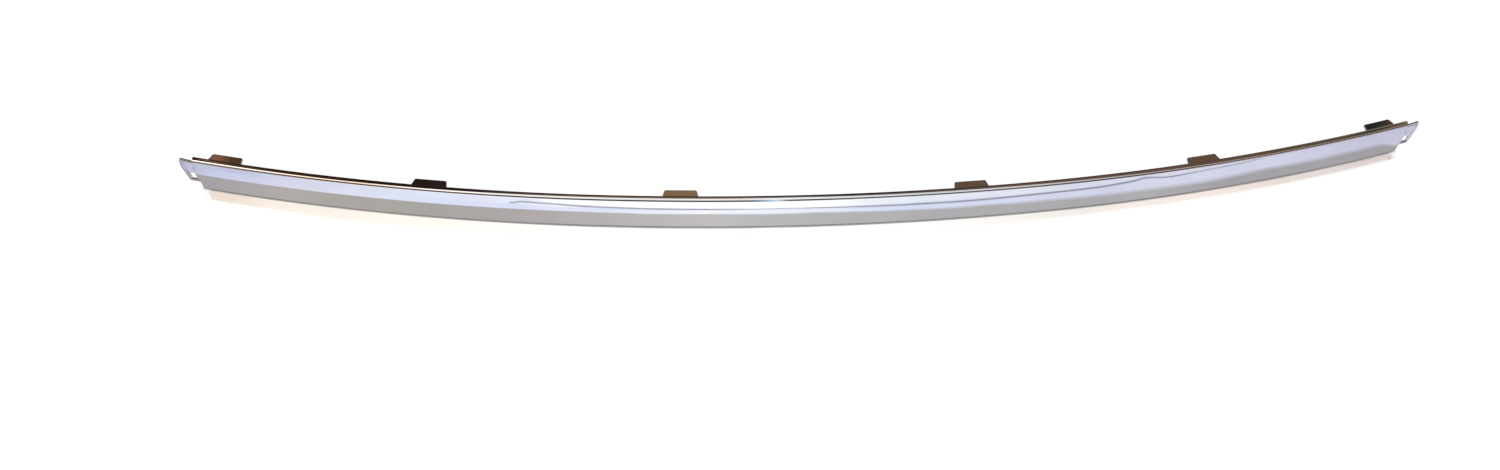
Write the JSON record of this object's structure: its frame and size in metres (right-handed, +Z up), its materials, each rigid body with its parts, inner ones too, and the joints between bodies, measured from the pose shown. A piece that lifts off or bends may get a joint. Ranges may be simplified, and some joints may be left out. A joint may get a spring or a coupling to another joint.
{
  "type": "bumper chrome trim",
  "caption": "Long bowed bumper trim strip with a creased mirror face, a rounded top edge, a rear flange with tabs and a clip tongue at each end.",
  "frame": {"origin": "centre of the bounding box at the level of the bottom edge that the strip stands on", "axes": "+X along the strip's length, to the right as seen from the front; +Y towards its rear, so the mirror face looks to -Y; +Z up"},
  "size_m": [1.2274, 0.0882, 0.0331],
  "materials": {
    "bright_chrome": "mirror bright plating on moulded plastic"
  },
  "bodies": {
    "root": {"trim_strip": "bright_chrome"}
  },
  "joints": []
}
